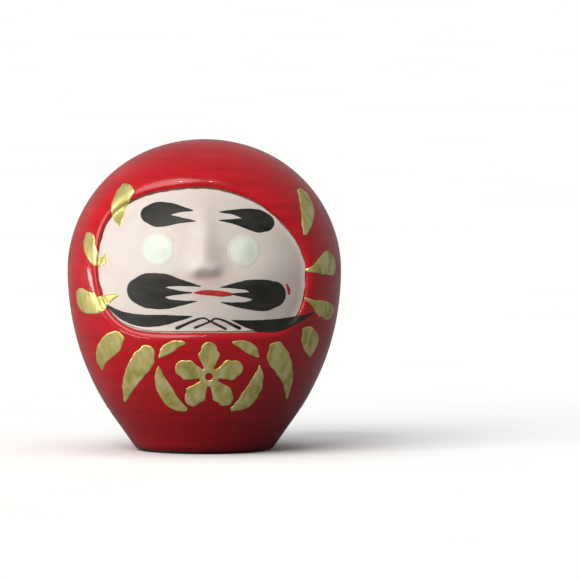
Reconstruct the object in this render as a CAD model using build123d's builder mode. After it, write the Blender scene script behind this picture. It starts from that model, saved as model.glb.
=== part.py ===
from build123d import *
import os
from math import asin, atan2, cos, hypot, pi, sin, sqrt

# Daruma doll: a rounded paper doll glued on a cone-shaped clay base, painted
# with red lacquer, a white face, ink brows and whiskers, and gold strokes.
# +Z is up, the face looks along -Y and the origin is the middle of the
# underside. All lengths are in millimetres.

os.makedirs("parts", exist_ok=True)

# ---- driving dimensions -----------------------------------------------------
height = 47.0
belly_radius = 20.75
belly_height = 27.0
lower_arc_radius = 38.15
shoulder_arc_radius = 19.85
seam_height = 6.1
base_radius = 10.2
base_edge_round = 1.2
smallest_fillet = 0.1

shell_wall = 1.3
coat = 0.24
strip_thickness = 0.12
strip_width = 5.0

face_depth = 1.8
face_coat_thickness = 0.15
stroke_thickness = 0.14
ink_margin = 0.05

# How far a brush stroke's ends bulge, where 1 is a half circle.
ink_end_bulge = 1.0
gold_end_bulge = 0.5

spigot_height = 2.6
spigot_clearance = 0.05
spigot_edge_round = 0.6
disc_thickness = 0.3
disc_radius = 8.9

eye_centres = {"left": (-7.1, 31.4), "right": (5.9, 31.2)}
eye_ball_radius = 5.5
eye_dome = 0.45

nose_bridge_height = 36.6
nose_bridge_radius = 0.55
nose_tip_height = 29.2
nose_tip_radius = 1.7
nose_tip_lift = 0.4
nostril_height = 28.4
nostril_radius = 1.0
nostril_spread = 1.25

# ---- the doll's outline -----------------------------------------------------
lower_centre = (belly_radius - lower_arc_radius, belly_height)
shoulder_centre = (belly_radius - shoulder_arc_radius, belly_height)

# The crown arc is tangent to the shoulder arc and level at the very top.
crown_rise = height - belly_height - shoulder_arc_radius
crown_drop = (shoulder_centre[0] ** 2 - crown_rise**2) / (2 * crown_rise)
crown_centre = (0.0, belly_height - crown_drop)
crown_arc_radius = height - crown_centre[1]
crown_angle = atan2(crown_drop, shoulder_centre[0])


def on_arc(centre, radius, angle):
    return (centre[0] + radius * cos(angle), centre[1] + radius * sin(angle))


def radius_at(z, grow=0.0):
    """Radius of the doll's skin, moved outward by grow, at height z."""
    centre, arc_radius = shoulder_centre, shoulder_arc_radius
    if z < belly_height:
        centre, arc_radius = lower_centre, lower_arc_radius
    return centre[0] + sqrt((arc_radius + grow) ** 2 - (z - belly_height) ** 2)


# The base flares in a straight cone up to the seam.
cone_flare = atan2(radius_at(seam_height) - base_radius, seam_height)


def skin_point(x, z, grow=0.0):
    """Point on the front of the skin, in line with x and z seen from -Y."""
    return Vector(x, -sqrt(radius_at(z, grow) ** 2 - x**2), z)


def doll_solid(grow):
    """The whole doll as one solid, with its skin moved outward by grow."""
    lower = lower_arc_radius + grow
    shoulder = shoulder_arc_radius + grow
    crown = crown_arc_radius + grow
    edge_round = base_edge_round + grow
    seam_angle = asin((seam_height - belly_height) / lower)
    with BuildPart() as solid:
        with BuildSketch(Plane.YZ) as half_profile:
            with BuildLine():
                floor_line = Line((0, 0), (base_radius + grow / cos(cone_flare), 0))
                cone_line = Line(floor_line @ 1, on_arc(lower_centre, lower, seam_angle))
                belly_arc = ThreePointArc(
                    cone_line @ 1,
                    on_arc(lower_centre, lower, seam_angle / 2),
                    on_arc(lower_centre, lower, 0),
                )
                shoulder_arc = ThreePointArc(
                    belly_arc @ 1,
                    on_arc(shoulder_centre, shoulder, crown_angle / 2),
                    on_arc(shoulder_centre, shoulder, crown_angle),
                )
                crown_arc = ThreePointArc(
                    shoulder_arc @ 1,
                    on_arc(crown_centre, crown, (crown_angle + pi / 2) / 2),
                    on_arc(crown_centre, crown, pi / 2),
                )
                Line(crown_arc @ 1, (0, 0))
            make_face()
            if edge_round > smallest_fillet:
                corners = half_profile.vertices().group_by(Axis.Y)[0].sort_by(Axis.X)
                fillet(corners[-1], edge_round)
        revolve(axis=Axis.Z)
    return solid.part


# ---- the face opening -------------------------------------------------------
# The rim seen from the front, from the right end of the straight chin line up
# over the brow and down to the chin line's left end.
face_rim = [
    (8.6, 19.0),
    (12.7, 20.0),
    (15.1, 26.4),
    (13.5, 32.7),
    (7.7, 38.3),
    (0.0, 40.4),
    (-9.0, 39.1),
    (-14.9, 34.1),
    (-15.9, 26.6),
    (-13.0, 20.4),
    (-8.4, 19.0),
]


def rim_points(grow):
    """The rim's points, each moved outward by grow."""
    points = [Vector(x, z) for x, z in face_rim]
    ahead = points[1:] + points[:1]
    behind = points[-1:] + points[:-1]
    outward = [(a - b).normalized().rotate(Axis.Z, -90) for a, b in zip(ahead, behind)]
    return [point + out * grow for point, out in zip(points, outward)]


def face_prism(grow):
    """The face opening run straight forward, with its edge moved outward."""
    with BuildPart() as prism:
        with BuildSketch(Plane.XZ):
            with BuildLine():
                rim = Spline(*rim_points(grow), tangents=[(1, 0), (1, 0)], tangent_scalars=[1, 1])
                Line(rim @ 1, rim @ 0)
            make_face()
        extrude(amount=2 * belly_radius)
    return prism.part


def face_cut(edge_grow, depth):
    """What the face opening takes out of the doll, down to the given depth."""
    return face_prism(edge_grow) - doll_solid(-depth)


whole = doll_solid(0)
face_grow = face_coat_thickness - face_depth
face_ground = doll_solid(face_grow)
painted = whole - face_cut(0, -face_grow)
bare = doll_solid(-coat) - face_cut(coat, face_depth)

# ---- the clay base ----------------------------------------------------------
cavity_grow = -coat - shell_wall
spigot_radius = radius_at(seam_height, cavity_grow) - spigot_clearance

with BuildPart() as base_weight:
    add(bare)
    split(bisect_by=Plane.XY.offset(seam_height), keep=Keep.BOTTOM)
    split(bisect_by=Plane.XY.offset(disc_thickness), keep=Keep.TOP)
    with BuildSketch(Plane.XY.offset(seam_height)):
        Circle(spigot_radius)
    extrude(amount=spigot_height)
    fillet(base_weight.faces().sort_by(Axis.Z)[-1].edges(), spigot_edge_round)

with BuildPart() as base_disc:
    with BuildSketch():
        Circle(disc_radius)
    extrude(amount=disc_thickness)

# ---- the two paper shells and the strip over their joint --------------------
hollow = doll_solid(cavity_grow)
hollow -= face_prism(coat + shell_wall) - doll_solid(-face_depth - shell_wall)


def half_shell(keep):
    with BuildPart() as shell:
        add(bare)
        split(bisect_by=Plane.XY.offset(seam_height), keep=Keep.TOP)
        add(hollow, mode=Mode.SUBTRACT)
        split(bisect_by=Plane.XZ, keep=keep)
    return shell


front_shell = half_shell(Keep.TOP)
back_shell = half_shell(Keep.BOTTOM)

with BuildPart() as seam_strip:
    add(doll_solid(strip_thickness - coat))
    split(bisect_by=Plane.XY.offset(seam_height), keep=Keep.TOP)
    split(bisect_by=Plane.XZ.offset(strip_width / 2), keep=Keep.BOTTOM)
    split(bisect_by=Plane.XZ.offset(-strip_width / 2), keep=Keep.TOP)
    add(doll_solid(-coat), mode=Mode.SUBTRACT)

# ---- the coats of paint -----------------------------------------------------
with BuildPart() as face_coat:
    add(painted - bare)
    add(face_prism(0) & face_ground, mode=Mode.INTERSECT)

with BuildPart() as red_coat:
    add(painted - bare)
    split(bisect_by=Plane.XY.offset(disc_thickness), keep=Keep.TOP)
    add(face_prism(0) & face_ground, mode=Mode.SUBTRACT)
    add(seam_strip.part, mode=Mode.SUBTRACT)

# ---- nose and eyes ----------------------------------------------------------
def face_normal(x, z):
    """Direction straight out of the face, above the belly's widest line."""
    point = skin_point(x, z, face_grow)
    slope = asin((z - belly_height) / (shoulder_arc_radius + face_grow))
    flat = cos(slope) / hypot(point.X, point.Y)
    return Vector(point.X * flat, point.Y * flat, sin(slope))


def eye_disc(x, z):
    """A dome of thick paint: the part of a ball that stands out of the face."""
    sunk = face_normal(x, z) * (eye_dome - eye_ball_radius)
    with BuildPart() as eye:
        with Locations(skin_point(x, z, face_grow) + sunk):
            Sphere(eye_ball_radius)
        add(face_ground, mode=Mode.SUBTRACT)
    return eye


eyes = {side: eye_disc(*centre) for side, centre in eye_centres.items()}

bridge = skin_point(0, nose_bridge_height, face_grow)
tip = skin_point(0, nose_tip_height, face_grow) + Vector(0, -nose_tip_lift, 0)
nostril = skin_point(0, nostril_height, face_grow)

with BuildPart() as nose:
    along_nose = tip - bridge
    with BuildSketch(Plane(origin=bridge, z_dir=along_nose)):
        Circle(nose_bridge_radius)
    with BuildSketch(Plane(origin=tip, z_dir=along_nose)):
        Circle(nose_tip_radius)
    loft()
    with Locations(Plane(origin=bridge, z_dir=along_nose)):
        Sphere(nose_bridge_radius)
    with Locations(Plane(origin=tip, z_dir=along_nose)):
        Sphere(nose_tip_radius)
    for spread in (-nostril_spread, nostril_spread):
        with Locations(Plane(origin=nostril + Vector(spread), z_dir=(spread, 0, 0))):
            Sphere(nostril_radius)
    add(face_ground, mode=Mode.SUBTRACT)

# ---- brush strokes ----------------------------------------------------------
# A stroke is a list of (x, z, half width) along its middle, and a painted mark
# is one or more strokes joined together.
ink_marks = {
    "brow_left": [
        [(-8.3, 36.3, 1.25), (-6.9, 36.8, 1.4), (-5.3, 37.2, 0.95), (-3.6, 37.2, 0.5), (-1.7, 37.0, 0.08)],
        [(-8.3, 36.3, 1.25), (-6.9, 35.9, 1.4), (-5.3, 35.6, 0.85), (-3.6, 35.6, 0.45), (-1.2, 35.5, 0.08)],
    ],
    "brow_right": [
        [(9.2, 35.1, 1.3), (7.8, 35.8, 1.35), (6.2, 36.4, 0.85), (4.4, 36.75, 0.4), (2.2, 36.8, 0.08)],
        [(9.2, 35.1, 1.3), (8.0, 35.0, 1.3), (6.4, 35.1, 0.85), (4.4, 35.4, 0.4), (2.2, 35.6, 0.08)],
    ],
    "moustache_left": [
        [(-9.6, 25.1, 2.0), (-8.0, 26.0, 1.9), (-5.9, 26.7, 1.05), (-3.4, 26.4, 0.5), (-0.6, 25.9, 0.08)],
        [(-9.6, 25.1, 2.0), (-7.6, 25.0, 1.3), (-5.5, 25.0, 0.65), (-3.6, 24.95, 0.3), (-1.8, 24.95, 0.08)],
        [(-9.6, 25.1, 2.0), (-8.0, 24.2, 1.85), (-5.9, 23.3, 0.9), (-3.4, 23.4, 0.4), (-1.1, 23.7, 0.08)],
    ],
    "moustache_right": [
        [(10.2, 24.5, 2.0), (8.6, 25.3, 1.6), (6.6, 26.0, 0.85), (4.6, 25.95, 0.45), (2.4, 25.75, 0.08)],
        [(10.2, 24.5, 2.0), (8.4, 24.35, 1.0), (6.8, 24.5, 0.5), (5.2, 24.65, 0.28), (3.8, 24.75, 0.08)],
        [(10.2, 24.5, 2.0), (8.8, 23.5, 1.55), (6.8, 23.0, 0.7), (4.6, 23.15, 0.35), (2.5, 23.5, 0.08)],
    ],
    "beard_left": [
        [(-14.7, 22.7, 0.1), (-12.3, 21.25, 0.65), (-9.3, 20.6, 0.95), (-6.1, 20.8, 0.8), (-1.8, 21.4, 0.08)],
    ],
    "beard_right": [
        [(4.1, 20.8, 0.08), (7.5, 19.95, 0.8), (10.7, 19.85, 0.98), (13.7, 20.5, 0.6), (16.3, 21.4, 0.1)],
    ],
    "chin_whiskers": [
        [(-4.1, 19.6, 0.27), (-1.6, 20.75, 0.19), (-0.1, 21.15, 0.14), (0.9, 20.65, 0.16), (3.15, 19.5, 0.22)],
        [(-1.4, 19.7, 0.2), (0.9, 20.65, 0.16), (1.5, 21.05, 0.14), (2.8, 20.8, 0.18), (5.25, 19.55, 0.28)],
    ],
    "mouth": [
        [(-1.35, 24.9, 0.1), (0.2, 24.9, 0.35), (1.8, 24.85, 0.55), (2.9, 24.7, 0.5), (3.8, 24.7, 0.1)],
    ],
    "cheek_tick_left": [[(-15.6, 25.4, 0.12), (-15.5, 24.8, 0.23), (-15.3, 24.3, 0.12)]],
    "cheek_tick_right": [[(12.3, 25.9, 0.15), (12.6, 25.2, 0.24), (12.65, 24.5, 0.15)]],
}

gold_marks = {
    "gold_left_1": [
        [(-11.4, 40.2, 1.0), (-12.2, 38.9, 1.2), (-12.9, 37.3, 1.1), (-12.9, 35.8, 0.9), (-12.6, 34.5, 0.2)],
    ],
    "gold_left_2": [
        [(-17.2, 33.0, 0.75), (-17.3, 31.4, 0.95), (-16.6, 29.7, 0.9), (-15.5, 29.1, 0.65), (-14.7, 30.2, 0.25)],
    ],
    "gold_left_3": [
        [(-18.8, 24.5, 0.75), (-17.6, 23.1, 1.8), (-16.1, 22.8, 1.4), (-14.6, 23.6, 0.7), (-12.9, 24.3, 0.15)],
    ],
    "gold_left_4": [
        [(-12.9, 18.2, 1.05), (-13.9, 17.0, 1.6), (-15.05, 15.4, 1.35), (-15.5, 14.0, 0.75), (-15.4, 12.7, 0.15)],
    ],
    "gold_left_5": [
        [(-8.4, 16.4, 1.0), (-9.1, 14.8, 1.65), (-10.4, 12.7, 1.5), (-11.3, 10.7, 1.05), (-12.0, 7.9, 0.15)],
    ],
    "gold_right_1": [
        [(14.3, 39.8, 0.35), (15.1, 38.4, 0.8), (15.6, 36.6, 1.0), (15.5, 35.1, 0.9), (15.2, 33.3, 0.3)],
    ],
    "gold_right_2": [
        [(15.3, 27.95, 0.25), (16.5, 28.05, 0.65), (17.7, 28.4, 1.35), (18.8, 28.7, 2.0)],
    ],
    "gold_right_3": [
        [(15.1, 23.7, 0.15), (16.3, 23.05, 0.45), (17.5, 22.2, 1.1), (18.4, 21.4, 1.25), (18.7, 20.5, 0.6)],
    ],
    "gold_right_4": [[(15.5, 19.0, 0.8), (15.9, 17.5, 1.35), (15.9, 16.1, 1.0), (15.9, 14.7, 0.15)]],
    "gold_right_5": [
        [(10.7, 16.8, 1.05), (11.1, 15.0, 1.65), (12.0, 13.1, 1.35), (12.5, 11.2, 0.8), (12.4, 8.4, 0.15)],
    ],
}

# A plain five-petal blossom between two pairs of leaves fills the belly.
blossom_centre = Vector(0.7, 12.2)
petal = [(1.0, 0.6), (2.1, 1.05), (3.3, 1.6), (4.1, 1.25)]
blossom_hub = 1.5
blossom_eye = 0.55
lower_leaf = [(3.4, -5.1, 0.3), (5.0, -4.3, 0.95), (6.4, -2.6, 1.15), (7.4, -0.3, 0.8), (7.6, 1.6, 0.1)]
upper_leaf = [(3.6, 5.2, 0.2), (5.1, 4.9, 0.7), (6.5, 4.0, 0.8), (7.5, 2.9, 0.15)]

for side, sign in (("left", -1), ("right", 1)):
    for level, leaf in (("lower", lower_leaf), ("upper", upper_leaf)):
        path = [(blossom_centre.X + sign * x, blossom_centre.Y + z, w) for x, z, w in leaf]
        gold_marks[f"leaf_{side}_{level}"] = [path]


def brush_stroke(path, end_bulge):
    """Face of one stroke: two smooth sides joined by rounded ends."""
    points = [Vector(x, z) for x, z, width in path]
    widths = [width for x, z, width in path]
    last = len(points) - 1
    heading = [points[min(i + 1, last)] - points[max(i - 1, 0)] for i in range(last + 1)]
    heading = [step.normalized() for step in heading]
    left = [p + h.rotate(Axis.Z, 90) * w for p, h, w in zip(points, heading, widths)]
    right = [p - h.rotate(Axis.Z, 90) * w for p, h, w in zip(points, heading, widths)]
    with BuildLine(Plane.XY, mode=Mode.PRIVATE) as outline:
        Spline(*left)
        ThreePointArc(left[-1], points[-1] + heading[-1] * widths[-1] * end_bulge, right[-1])
        Spline(*right[::-1])
        ThreePointArc(right[0], points[0] - heading[0] * widths[0] * end_bulge, left[0])
    return make_face(outline.edges(), mode=Mode.PRIVATE)


# Gold lies on the lacquer outside the face opening, ink inside it.
gold_film = doll_solid(stroke_thickness) - whole - face_prism(0)
ink_film = doll_solid(face_grow + stroke_thickness) - face_ground
ink_film &= face_prism(-ink_margin)


def painted_mark(strokes, film, end_bulge):
    with BuildPart() as mark:
        with BuildSketch(Plane.XZ):
            for stroke in strokes:
                add(brush_stroke(stroke, end_bulge))
        extrude(amount=2 * belly_radius)
        add(film, mode=Mode.INTERSECT)
    return mark


painted_marks = {}
for name, strokes in ink_marks.items():
    painted_marks[name] = painted_mark(strokes, ink_film, ink_end_bulge)
for name, strokes in gold_marks.items():
    painted_marks[name] = painted_mark(strokes, gold_film, gold_end_bulge)

with BuildPart() as blossom:
    with BuildSketch(Plane.XZ):
        for turn in range(90, 450, 72):
            spoke = Vector(1, 0).rotate(Axis.Z, turn)
            middle = [blossom_centre + spoke * reach for reach, width in petal]
            path = [(p.X, p.Y, width) for p, (reach, width) in zip(middle, petal)]
            add(brush_stroke(path, ink_end_bulge))
        with Locations(blossom_centre):
            Circle(blossom_hub)
            Circle(blossom_eye, mode=Mode.SUBTRACT)
    extrude(amount=2 * belly_radius)
    add(gold_film, mode=Mode.INTERSECT)

# ---- write one STEP file for each piece -------------------------------------
pieces = {
    "base_disc": base_disc,
    "base_weight": base_weight,
    "front_shell": front_shell,
    "back_shell": back_shell,
    "seam_strip": seam_strip,
    "red_coat": red_coat,
    "face_coat": face_coat,
    "nose": nose,
    "eye_left": eyes["left"],
    "eye_right": eyes["right"],
    "blossom": blossom,
    **painted_marks,
}

for label, piece in pieces.items():
    piece.part.label = label
    export_step(piece.part, f"parts/{label}.step")
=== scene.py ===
from math import asin, atan2, cos, pi, radians, sin, sqrt

import bmesh
import bpy
import numpy as np
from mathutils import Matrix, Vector, noise
from mathutils.geometry import delaunay_2d_cdt


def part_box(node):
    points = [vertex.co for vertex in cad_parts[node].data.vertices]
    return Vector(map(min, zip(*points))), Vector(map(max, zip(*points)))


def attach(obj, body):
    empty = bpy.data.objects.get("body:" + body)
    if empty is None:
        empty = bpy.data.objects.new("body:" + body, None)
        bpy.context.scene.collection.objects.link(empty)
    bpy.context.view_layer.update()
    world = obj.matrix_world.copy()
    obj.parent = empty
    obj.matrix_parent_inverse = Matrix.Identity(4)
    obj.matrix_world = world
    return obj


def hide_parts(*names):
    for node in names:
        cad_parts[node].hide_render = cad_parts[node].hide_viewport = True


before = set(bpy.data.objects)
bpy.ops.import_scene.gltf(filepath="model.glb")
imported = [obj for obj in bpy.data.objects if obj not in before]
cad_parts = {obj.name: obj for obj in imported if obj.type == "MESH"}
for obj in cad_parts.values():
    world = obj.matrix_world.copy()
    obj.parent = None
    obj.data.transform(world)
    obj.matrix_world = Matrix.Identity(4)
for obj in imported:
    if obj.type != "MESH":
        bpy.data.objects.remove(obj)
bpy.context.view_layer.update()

# Daruma doll. Lengths in this script are millimetres and become metres when a
# mesh is made. +Z is up, and the face looks along -Y.
MM = 0.001

# ---- sizes read from the frame ----------------------------------------------
coat_low, coat_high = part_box("red_coat")
HEIGHT = coat_high[2] / MM
BELLY_RADIUS = coat_high[0] / MM
COAT_BOTTOM = coat_low[2] / MM
SEAM_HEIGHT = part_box("front_shell")[0][2] / MM
EYE_LOW = {side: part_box(f"eye_{side}")[0] for side in ("left", "right")}
EYE_HIGH = {side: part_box(f"eye_{side}")[1] for side in ("left", "right")}
NOSE_LOW, NOSE_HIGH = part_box("nose")

# ---- the doll's outline, as arcs that meet smoothly --------------------------
BELLY_HEIGHT = 27.0
LOWER_ARC_RADIUS = 38.15
SHOULDER_ARC_RADIUS = 19.85
BASE_RADIUS = 10.2
BASE_EDGE_ROUND = 1.2
SEAM_GROOVE = 0.06
SEAM_GROOVE_WIDTH = 0.22

LOWER_CENTRE = (BELLY_RADIUS - LOWER_ARC_RADIUS, BELLY_HEIGHT)
SHOULDER_CENTRE = (BELLY_RADIUS - SHOULDER_ARC_RADIUS, BELLY_HEIGHT)
CROWN_RISE = HEIGHT - BELLY_HEIGHT - SHOULDER_ARC_RADIUS
CROWN_DROP = (SHOULDER_CENTRE[0] ** 2 - CROWN_RISE**2) / (2 * CROWN_RISE)
CROWN_CENTRE = (0.0, BELLY_HEIGHT - CROWN_DROP)
CROWN_ARC_RADIUS = HEIGHT - CROWN_CENTRE[1]
CROWN_ANGLE = atan2(CROWN_DROP, SHOULDER_CENTRE[0])
CROWN_START = SHOULDER_CENTRE[1] + SHOULDER_ARC_RADIUS * sin(CROWN_ANGLE)

# ---- the face ----------------------------------------------------------------
FACE_TOP = 40.4
FACE_BOTTOM = 18.95
DEPTH_AT_BROW = 1.7
DEPTH_AT_CHIN = 0.95
LIP_AT_BROW = 3.0
LIP_AT_CHIN = 1.3
LIP_SHARE = 0.72
LIP_FULLNESS = 0.95
FLOOR_ROUND = 1.1
FEATURE_FADE = 1.5
FACE_RIM = [
    (0.0, FACE_TOP),
    (-4.9, 40.1),
    (-9.0, 39.1),
    (-12.8, 37.1),
    (-15.0, 34.2),
    (-15.9, 30.5),
    (-15.9, 26.6),
    (-14.9, 22.9),
    (-12.5, 20.2),
    (-8.5, FACE_BOTTOM),
    (0.0, 18.9),
    (8.6, FACE_BOTTOM),
    (12.6, 19.8),
    (14.6, 22.6),
    (15.2, 26.4),
    (14.95, 29.6),
    (13.5, 32.8),
    (10.8, 35.9),
    (7.7, 38.2),
    (3.9, 39.7),
]
NOSE_TOP = NOSE_HIGH[2] / MM
NOSE_FOOT = NOSE_LOW[2] / MM - 0.5
NOSE_TIP = NOSE_FOOT + 2.1
# The nose stands out most at its tip, and is narrower towards its top.
NOSE_RELIEF = 1.2
NOSE_WIDTH = 2.0
NOSE_NARROWING = 0.8
# Soft hills and hollows: middle (x, z), size (x, z), and how far each stands out.
FACE_HILLS = [
    ((-1.4, NOSE_TIP - 0.7), (1.0, 0.95), 0.35),  # the nose's wings
    ((1.4, NOSE_TIP - 0.7), (1.0, 0.95), 0.35),
    ((0.0, 36.5), (2.6, 2.2), 0.35),  # its root, between the brows
    ((-8.5, 27.2), (4.2, 2.6), 0.35),  # the cheeks
    ((8.2, 27.2), (4.2, 2.6), 0.35),
    ((-7.0, 31.4), (4.0, 3.0), -0.22),  # the eye sockets
    ((6.0, 31.2), (4.0, 3.0), -0.22),
]

# ---- layers and paint ----------------------------------------------------------
COAT = 0.2
SHELL_WALL = 1.3
SHELL_GAP = 0.04
FACE_PAINT = 0.09
# How far the white stops inside the rim, sideways and up or down.
FACE_PAINT_INSET = np.array([0.03, 0.22])
INK = 0.045
INK_EDGE = 0.09
GOLD = 0.075
GOLD_EDGE = 0.2
GOLD_END_BULGE = 0.5
EYE_FILM = 0.02
EYE_DOME = 0.32
# How far paint reaches under the surface, and how far the top of its edge sinks.
PAINT_ROOT = 0.08
PAINT_EDGE_SINK = 0.02
# Marks rise onto the white over this far outside its edge, and within this width.
WHITE_REACH = 0.7
WHITE_RISE = 0.5
OUTLINE_STEP = 0.13
FILLING_STEP = 0.24

# ---- unevenness of the pressed paper -------------------------------------------
WARP = 0.005  # share of the radius
WARP_LENGTH = 9.0
# It sets in this far above the seam, and grows to its full size over this height.
WARP_START = 1.0
WARP_FADE = 5.0


# ---- small maths helpers -------------------------------------------------------
def smooth_step(t):
    """0 up to t = 0 and 1 from t = 1, with an even curve between."""
    t = np.clip(t, 0.0, 1.0)
    return t * t * (3 - 2 * t)


def bump(x, z, centre, size):
    """A soft round hill, 1 at its centre."""
    return np.exp(-(((x - centre[0]) / size[0]) ** 2) - ((z - centre[1]) / size[1]) ** 2)


def radius_at(z, inward=0.0):
    """Radius of the doll at height z, with its skin moved inward."""
    z = np.asarray(z, dtype=float)

    def across(centre, arc_radius):
        square = (arc_radius - inward) ** 2 - (z - centre[1]) ** 2
        return centre[0] + np.sqrt(np.maximum(square, 1e-9))

    lower = across(LOWER_CENTRE, LOWER_ARC_RADIUS)
    shoulder = across(SHOULDER_CENTRE, SHOULDER_ARC_RADIUS)
    crown = across(CROWN_CENTRE, CROWN_ARC_RADIUS)
    seam_radius = across_at_seam(inward)
    cone = BASE_RADIUS - inward + (seam_radius - BASE_RADIUS + inward) * z / SEAM_HEIGHT
    radius = np.where(z < BELLY_HEIGHT, lower, np.where(z < CROWN_START, shoulder, crown))
    radius = np.where(z < SEAM_HEIGHT, cone, radius)
    return radius - SEAM_GROOVE * np.exp(-(((z - SEAM_HEIGHT) / SEAM_GROOVE_WIDTH) ** 2))


def across_at_seam(inward):
    """Radius where the cone of the base meets the lower arc."""
    square = (LOWER_ARC_RADIUS - inward) ** 2 - (BELLY_HEIGHT - SEAM_HEIGHT) ** 2
    return LOWER_CENTRE[0] + np.sqrt(square)


def closed_curve(points, per_span):
    """Points along a smooth closed curve (Catmull-Rom) through the given ones."""
    p = np.array(points, dtype=float)
    before, after, beyond = np.roll(p, 1, 0), np.roll(p, -1, 0), np.roll(p, -2, 0)
    spans = []
    for t in np.arange(per_span) / per_span:
        spans.append(
            0.5 * (2 * p + (after - before) * t
                   + (2 * before - 5 * p + 4 * after - beyond) * t**2
                   + (3 * p - before - 3 * after + beyond) * t**3)
        )
    return np.stack(spans, axis=1).reshape(-1, 2)


def open_curve(points, per_span):
    """Rows along a smooth open curve through the given rows."""
    p = np.array(points, dtype=float)
    p = np.vstack([2 * p[0] - p[1], p, 2 * p[-1] - p[-2]])
    rows = []
    for i in range(1, len(p) - 2):
        for t in np.arange(per_span) / per_span:
            rows.append(
                0.5 * (2 * p[i] + (p[i + 1] - p[i - 1]) * t
                       + (2 * p[i - 1] - 5 * p[i] + 4 * p[i + 1] - p[i + 2]) * t**2
                       + (3 * p[i] - p[i - 1] - 3 * p[i + 1] + p[i + 2]) * t**3)
            )
    rows.append(p[-2])
    return np.array(rows)


def even_spacing(loop, step):
    """The closed loop again, with its points evenly spaced."""
    closed = np.vstack([loop, loop[:1]])
    along = np.concatenate([[0], np.cumsum(np.linalg.norm(np.diff(closed, axis=0), axis=1))])
    count = max(int(along[-1] / step), 8)
    at = np.arange(count) * along[-1] / count
    return np.column_stack([np.interp(at, along, closed[:, k]) for k in (0, 1)])


def outward_normals(loop):
    """Unit normals of a closed loop that runs anticlockwise."""
    ahead = np.roll(loop, -1, 0) - np.roll(loop, 1, 0)
    ahead /= np.linalg.norm(ahead, axis=1, keepdims=True)
    return np.column_stack([ahead[:, 1], -ahead[:, 0]])


def inside(points, loop):
    """Which points lie inside the closed loop."""
    x, y = points[:, 0:1], points[:, 1:2]
    x0, y0 = loop[:, 0], loop[:, 1]
    x1, y1 = np.roll(x0, -1), np.roll(y0, -1)
    spans = (y0 > y) != (y1 > y)
    rise = np.where(y1 == y0, 1e-12, y1 - y0)
    crossing = x0 + (y - y0) * (x1 - x0) / rise
    return (spans & (x < crossing)).sum(axis=1) % 2 == 1


def distance_to(points, starts, ends):
    """Distance from each point to the nearest of the line pieces."""
    best = np.full(len(points), 1e9)
    for first in range(0, len(starts), 64):
        a, b = starts[first:first + 64], ends[first:first + 64]
        along = b - a
        length = np.maximum((along**2).sum(axis=1), 1e-12)
        t = np.clip(((points[:, None] - a) * along).sum(axis=2) / length, 0, 1)
        gap = points[:, None] - (a + t[..., None] * along)
        best = np.minimum(best, np.sqrt((gap**2).sum(axis=2)).min(axis=1))
    return best


# ---- the front surface ---------------------------------------------------------
RIM = even_spacing(closed_curve(FACE_RIM, 24), 0.16)
RIM_OUT = outward_normals(RIM)


def rim_distance(points):
    """Distance to the face opening's edge, positive inside the opening."""
    gap = distance_to(points, RIM, np.roll(RIM, -1, 0))
    return np.where(inside(points, RIM), gap, -gap)


def up_the_face(z):
    """0 at the face's lowest point and 1 at its highest."""
    return smooth_step((z - FACE_BOTTOM) / (FACE_TOP - FACE_BOTTOM))


def face_depth(z):
    """How far the face is pressed in at height z."""
    return DEPTH_AT_CHIN + (DEPTH_AT_BROW - DEPTH_AT_CHIN) * up_the_face(z)


def lip_width(z):
    """Width of the rounded lip outside the rim at height z."""
    return LIP_AT_CHIN + (LIP_AT_BROW - LIP_AT_CHIN) * up_the_face(z)


def lip_drop(t):
    """Share of the lip's fall at t, from 0 on the skin to 1 at the rim: a quarter round."""
    full = 1 - sqrt(1 - LIP_FULLNESS**2)
    return (1 - np.sqrt(1 - (LIP_FULLNESS * np.clip(t, 0, 1)) ** 2)) / full


def features(x, z):
    """How far nose, cheeks and brow stand out of the pressed-in face."""
    up = np.clip((z - NOSE_TIP) / (NOSE_TOP - NOSE_TIP), 0, 1)
    below = smooth_step((z - NOSE_FOOT) / (NOSE_TIP - NOSE_FOOT))
    width = NOSE_WIDTH - NOSE_NARROWING * up
    stand_out = (1 - up) ** 0.8 * below * NOSE_RELIEF * np.exp(-np.abs(x / width) ** 2.0)
    for middle, size, height in FACE_HILLS:
        stand_out += height * bump(x, z, middle, size)
    return stand_out


def front_y(points, rim_gap=None, under=0.0):
    """The front surface at each (x, z), moved under its skin if asked."""
    x, z = points[:, 0], points[:, 1]
    if rim_gap is None:
        rim_gap = rim_distance(points)
    skin = -np.sqrt(np.maximum(radius_at(z, under) ** 2 - x**2, 0.01))
    floor = -np.sqrt(np.maximum(radius_at(z, under + face_depth(z)) ** 2 - x**2, 0.01))
    lip = LIP_SHARE * lip_drop(1 + rim_gap / lip_width(z))
    dish = 1 - (1 - LIP_SHARE) * (1 - np.clip(rim_gap / FLOOR_ROUND, 0, 1)) ** 2
    fall = np.where(rim_gap < 0, lip, dish)
    stand_out = features(x, z) * smooth_step(rim_gap / FEATURE_FADE)
    return skin + fall * (floor - skin) - stand_out


def front_points(points, lift, under=0.0):
    """(x, z) points laid on the front surface and lifted along its normal."""
    step = 0.02
    here = front_y(points, under=under)
    slope_x = front_y(points + [step, 0], under=under) - front_y(points - [step, 0], under=under)
    slope_z = front_y(points + [0, step], under=under) - front_y(points - [0, step], under=under)
    normal = np.column_stack([slope_x, np.full(len(points), -2 * step), slope_z])
    normal /= np.linalg.norm(normal, axis=1, keepdims=True)
    on_surface = np.column_stack([points[:, 0], here, points[:, 1]])
    return on_surface + normal * np.asarray(lift).reshape(-1, 1)


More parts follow.
